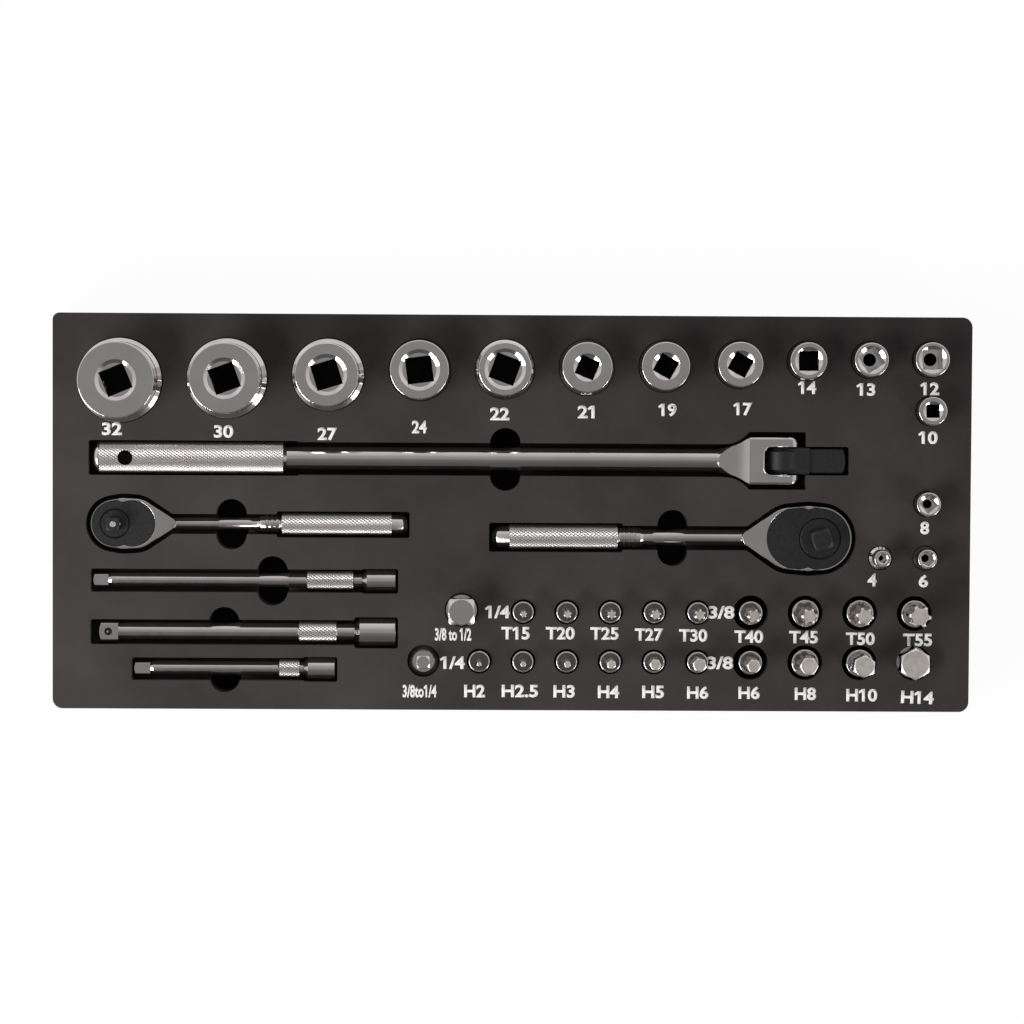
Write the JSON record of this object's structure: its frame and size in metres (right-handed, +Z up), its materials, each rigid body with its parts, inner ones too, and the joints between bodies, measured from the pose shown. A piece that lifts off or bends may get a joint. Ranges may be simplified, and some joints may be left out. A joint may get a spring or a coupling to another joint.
{
  "type": "socket set tray",
  "caption": "Foam drawer tray of a tool chest, cut with pockets that hold drive sockets, bit sockets, extension bars, adaptors, two ratchets and a breaker bar.",
  "frame": {"origin": "middle of the tray's underside", "axes": "+X along the tray's long side, from the grip of the breaker bar to its drive head; +Y to the long edge with the row of sockets; +Z up, out of the pockets"},
  "size_m": [0.4576, 0.197, 0.057],
  "materials": {
    "foam": "matt closed-cell foam",
    "foam_sheet": "matt closed-cell foam",
    "chrome": "polished chrome plate",
    "satin_chrome": "satin chrome plate",
    "black_oxide": "black oxide steel",
    "bright_steel": "bright steel"
  },
  "bodies": {
    "tray": {"foam_block": "foam", "foam_base": "foam_sheet"},
    "socket_32": {"socket_32": "chrome"},
    "socket_30": {"socket_30": "chrome"},
    "socket_27": {"socket_27": "chrome"},
    "socket_24": {"socket_24": "chrome"},
    "socket_22": {"socket_22": "chrome"},
    "socket_21": {"socket_21": "chrome"},
    "socket_19": {"socket_19": "chrome"},
    "socket_17": {"socket_17": "chrome"},
    "socket_14": {"socket_14": "chrome"},
    "socket_13": {"socket_13": "chrome"},
    "socket_12": {"socket_12": "chrome"},
    "socket_10": {"socket_10": "chrome"},
    "socket_8": {"socket_8": "chrome"},
    "socket_6": {"socket_6": "chrome"},
    "socket_4": {"socket_4": "chrome"},
    "bit_t15": {"bit_t15": "satin_chrome"},
    "bit_t20": {"bit_t20": "satin_chrome"},
    "bit_t25": {"bit_t25": "satin_chrome"},
    "bit_t27": {"bit_t27": "satin_chrome"},
    "bit_t30": {"bit_t30": "satin_chrome"},
    "bit_t40": {"bit_t40": "satin_chrome"},
    "bit_t45": {"bit_t45": "satin_chrome"},
    "bit_t50": {"bit_t50": "satin_chrome"},
    "bit_t55": {"bit_t55": "satin_chrome"},
    "bit_h2": {"bit_h2": "satin_chrome"},
    "bit_h2_5": {"bit_h2_5": "satin_chrome"},
    "bit_h3": {"bit_h3": "satin_chrome"},
    "bit_h4": {"bit_h4": "satin_chrome"},
    "bit_h5": {"bit_h5": "satin_chrome"},
    "bit_h6_quarter": {"bit_h6_quarter": "satin_chrome"},
    "bit_h6_three_eighths": {"bit_h6_three_eighths": "satin_chrome"},
    "bit_h8": {"bit_h8": "satin_chrome"},
    "bit_h10": {"bit_h10": "satin_chrome"},
    "bit_h14": {"bit_h14": "satin_chrome"},
    "adaptor_three_eighths_to_half": {"adaptor_three_eighths_to_half": "chrome"},
    "adaptor_three_eighths_to_quarter": {"adaptor_three_eighths_to_quarter": "chrome"},
    "extension_quarter_long": {"extension_quarter_long": "chrome"},
    "extension_three_eighths": {"extension_three_eighths": "chrome"},
    "extension_quarter_short": {"extension_quarter_short": "chrome"},
    "breaker_bar": {"bar_handle": "chrome", "bar_hinge_pin": "chrome"},
    "breaker_bar_head": {"bar_drive_head": "black_oxide", "bar_detent_ball": "bright_steel"},
    "ratchet_quarter": {"ratchet_quarter_body": "chrome", "ratchet_quarter_cover_plate": "black_oxide"},
    "ratchet_quarter_drive": {"ratchet_quarter_drive_gear": "black_oxide", "ratchet_quarter_detent_set": "bright_steel"},
    "ratchet_quarter_button": {"ratchet_quarter_release_button": "bright_steel"},
    "ratchet_quarter_lever": {"ratchet_quarter_reverse_lever": "black_oxide"},
    "ratchet_quarter_pawl_rocker": {"ratchet_quarter_pawl": "black_oxide"},
    "ratchet_three_eighths": {"ratchet_three_eighths_body": "chrome", "ratchet_three_eighths_cover_plate": "black_oxide"},
    "ratchet_three_eighths_drive": {"ratchet_three_eighths_drive_gear": "black_oxide", "ratchet_three_eighths_detent_set": "bright_steel"},
    "ratchet_three_eighths_button": {"ratchet_three_eighths_release_button": "bright_steel"},
    "ratchet_three_eighths_lever": {"ratchet_three_eighths_reverse_lever": "black_oxide"},
    "ratchet_three_eighths_pawl_rocker": {"ratchet_three_eighths_pawl": "black_oxide"}
  },
  "joints": [
    {"name": "socket_32_lift", "type": "slide", "parent": "tray", "child": "socket_32", "axis": [0, 0, 1], "range_m": [0, 0.06]},
    {"name": "socket_30_lift", "type": "slide", "parent": "tray", "child": "socket_30", "axis": [0, 0, 1], "range_m": [0, 0.06]},
    {"name": "socket_27_lift", "type": "slide", "parent": "tray", "child": "socket_27", "axis": [0, 0, 1], "range_m": [0, 0.06]},
    {"name": "socket_24_lift", "type": "slide", "parent": "tray", "child": "socket_24", "axis": [0, 0, 1], "range_m": [0, 0.06]},
    {"name": "socket_22_lift", "type": "slide", "parent": "tray", "child": "socket_22", "axis": [0, 0, 1], "range_m": [0, 0.06]},
    {"name": "socket_21_lift", "type": "slide", "parent": "tray", "child": "socket_21", "axis": [0, 0, 1], "range_m": [0, 0.06]},
    {"name": "socket_19_lift", "type": "slide", "parent": "tray", "child": "socket_19", "axis": [0, 0, 1], "range_m": [0, 0.06]},
    {"name": "socket_17_lift", "type": "slide", "parent": "tray", "child": "socket_17", "axis": [0, 0, 1], "range_m": [0, 0.06]},
    {"name": "socket_14_lift", "type": "slide", "parent": "tray", "child": "socket_14", "axis": [0, 0, 1], "range_m": [0, 0.06]},
    {"name": "socket_13_lift", "type": "slide", "parent": "tray", "child": "socket_13", "axis": [0, 0, 1], "range_m": [0, 0.06]},
    {"name": "socket_12_lift", "type": "slide", "parent": "tray", "child": "socket_12", "axis": [0, 0, 1], "range_m": [0, 0.06]},
    {"name": "socket_10_lift", "type": "slide", "parent": "tray", "child": "socket_10", "axis": [0, 0, 1], "range_m": [0, 0.06]},
    {"name": "socket_8_lift", "type": "slide", "parent": "tray", "child": "socket_8", "axis": [0, 0, 1], "range_m": [0, 0.06]},
    {"name": "socket_6_lift", "type": "slide", "parent": "tray", "child": "socket_6", "axis": [0, 0, 1], "range_m": [0, 0.06]},
    {"name": "socket_4_lift", "type": "slide", "parent": "tray", "child": "socket_4", "axis": [0, 0, 1], "range_m": [0, 0.06]},
    {"name": "bit_t15_lift", "type": "slide", "parent": "tray", "child": "bit_t15", "axis": [0, 0, 1], "range_m": [0, 0.06]},
    {"name": "bit_t20_lift", "type": "slide", "parent": "tray", "child": "bit_t20", "axis": [0, 0, 1], "range_m": [0, 0.06]},
    {"name": "bit_t25_lift", "type": "slide", "parent": "tray", "child": "bit_t25", "axis": [0, 0, 1], "range_m": [0, 0.06]},
    {"name": "bit_t27_lift", "type": "slide", "parent": "tray", "child": "bit_t27", "axis": [0, 0, 1], "range_m": [0, 0.06]},
    {"name": "bit_t30_lift", "type": "slide", "parent": "tray", "child": "bit_t30", "axis": [0, 0, 1], "range_m": [0, 0.06]},
    {"name": "bit_t40_lift", "type": "slide", "parent": "tray", "child": "bit_t40", "axis": [0, 0, 1], "range_m": [0, 0.06]},
    {"name": "bit_t45_lift", "type": "slide", "parent": "tray", "child": "bit_t45", "axis": [0, 0, 1], "range_m": [0, 0.06]},
    {"name": "bit_t50_lift", "type": "slide", "parent": "tray", "child": "bit_t50", "axis": [0, 0, 1], "range_m": [0, 0.06]},
    {"name": "bit_t55_lift", "type": "slide", "parent": "tray", "child": "bit_t55", "axis": [0, 0, 1], "range_m": [0, 0.06]},
    {"name": "bit_h2_lift", "type": "slide", "parent": "tray", "child": "bit_h2", "axis": [0, 0, 1], "range_m": [0, 0.06]},
    {"name": "bit_h2_5_lift", "type": "slide", "parent": "tray", "child": "bit_h2_5", "axis": [0, 0, 1], "range_m": [0, 0.06]},
    {"name": "bit_h3_lift", "type": "slide", "parent": "tray", "child": "bit_h3", "axis": [0, 0, 1], "range_m": [0, 0.06]},
    {"name": "bit_h4_lift", "type": "slide", "parent": "tray", "child": "bit_h4", "axis": [0, 0, 1], "range_m": [0, 0.06]},
    {"name": "bit_h5_lift", "type": "slide", "parent": "tray", "child": "bit_h5", "axis": [0, 0, 1], "range_m": [0, 0.06]},
    {"name": "bit_h6_quarter_lift", "type": "slide", "parent": "tray", "child": "bit_h6_quarter", "axis": [0, 0, 1], "range_m": [0, 0.06]},
    {"name": "bit_h6_three_eighths_lift", "type": "slide", "parent": "tray", "child": "bit_h6_three_eighths", "axis": [0, 0, 1], "range_m": [0, 0.06]},
    {"name": "bit_h8_lift", "type": "slide", "parent": "tray", "child": "bit_h8", "axis": [0, 0, 1], "range_m": [0, 0.06]},
    {"name": "bit_h10_lift", "type": "slide", "parent": "tray", "child": "bit_h10", "axis": [0, 0, 1], "range_m": [0, 0.06]},
    {"name": "bit_h14_lift", "type": "slide", "parent": "tray", "child": "bit_h14", "axis": [0, 0, 1], "range_m": [0, 0.06]},
    {"name": "adaptor_three_eighths_to_half_lift", "type": "slide", "parent": "tray", "child": "adaptor_three_eighths_to_half", "axis": [0, 0, 1], "range_m": [0, 0.06]},
    {"name": "adaptor_three_eighths_to_quarter_lift", "type": "slide", "parent": "tray", "child": "adaptor_three_eighths_to_quarter", "axis": [0, 0, 1], "range_m": [0, 0.06]},
    {"name": "extension_quarter_long_lift", "type": "slide", "parent": "tray", "child": "extension_quarter_long", "axis": [0, 0, 1], "range_m": [0, 0.06]},
    {"name": "extension_three_eighths_lift", "type": "slide", "parent": "tray", "child": "extension_three_eighths", "axis": [0, 0, 1], "range_m": [0, 0.06]},
    {"name": "extension_quarter_short_lift", "type": "slide", "parent": "tray", "child": "extension_quarter_short", "axis": [0, 0, 1], "range_m": [0, 0.06]},
    {"name": "breaker_bar_lift", "type": "slide", "parent": "tray", "child": "breaker_bar", "axis": [0, 0, 1], "range_m": [0, 0.06]},
    {"name": "breaker_bar_head_tilt", "type": "hinge", "parent": "breaker_bar", "child": "breaker_bar_head", "pos_m": [0.13565, 0.02665, 0.028], "axis": [0, -1, 0], "range_deg": [0, 90]},
    {"name": "ratchet_quarter_lift", "type": "slide", "parent": "tray", "child": "ratchet_quarter", "axis": [0, 0, 1], "range_m": [0, 0.06]},
    {"name": "ratchet_quarter_drive_turn", "type": "hinge", "parent": "ratchet_quarter", "child": "ratchet_quarter_drive", "pos_m": [-0.19815, -0.00625, 0.0238], "axis": [0, 0, 1], "continuous": true},
    {"name": "ratchet_quarter_button_press", "type": "slide", "parent": "ratchet_quarter_drive", "child": "ratchet_quarter_button", "axis": [0, 0, 1], "range_m": [0, 0.0014], "stiffness_N_per_m": 150, "springref_m": -0.002},
    {"name": "ratchet_quarter_lever_flip", "type": "hinge", "parent": "ratchet_quarter", "child": "ratchet_quarter_lever", "pos_m": [-0.18515, -0.00625, 0.0238], "axis": [0, 0, 1], "range_deg": [0, 70]},
    {"name": "ratchet_quarter_pawl_rock", "type": "hinge", "parent": "ratchet_quarter", "child": "ratchet_quarter_pawl_rocker", "pos_m": [-0.18515, -0.00625, 0.0238], "axis": [0, 0, 1], "range_deg": [0, 14]},
    {"name": "ratchet_three_eighths_lift", "type": "slide", "parent": "tray", "child": "ratchet_three_eighths", "axis": [0, 0, 1], "range_m": [0, 0.06]},
    {"name": "ratchet_three_eighths_drive_turn", "type": "hinge", "parent": "ratchet_three_eighths", "child": "ratchet_three_eighths_drive", "pos_m": [0.15385, -0.01215, 0.021], "axis": [0, 0, 1], "continuous": true},
    {"name": "ratchet_three_eighths_button_press", "type": "slide", "parent": "ratchet_three_eighths_drive", "child": "ratchet_three_eighths_button", "axis": [0, 0, 1], "range_m": [0, 0.0014], "stiffness_N_per_m": 150, "springref_m": -0.002},
    {"name": "ratchet_three_eighths_lever_flip", "type": "hinge", "parent": "ratchet_three_eighths", "child": "ratchet_three_eighths_lever", "pos_m": [0.13635, -0.01215, 0.021], "axis": [0, 0, 1], "range_deg": [0, 70]},
    {"name": "ratchet_three_eighths_pawl_rock", "type": "hinge", "parent": "ratchet_three_eighths", "child": "ratchet_three_eighths_pawl_rocker", "pos_m": [0.13635, -0.01215, 0.021], "axis": [0, 0, 1], "range_deg": [0, 14]}
  ],
  "couplings": [
    {"joint": "ratchet_quarter_pawl_rock", "follows": "ratchet_quarter_lever_flip", "ratio": 0.2},
    {"joint": "ratchet_three_eighths_pawl_rock", "follows": "ratchet_three_eighths_lever_flip", "ratio": 0.2}
  ]
}
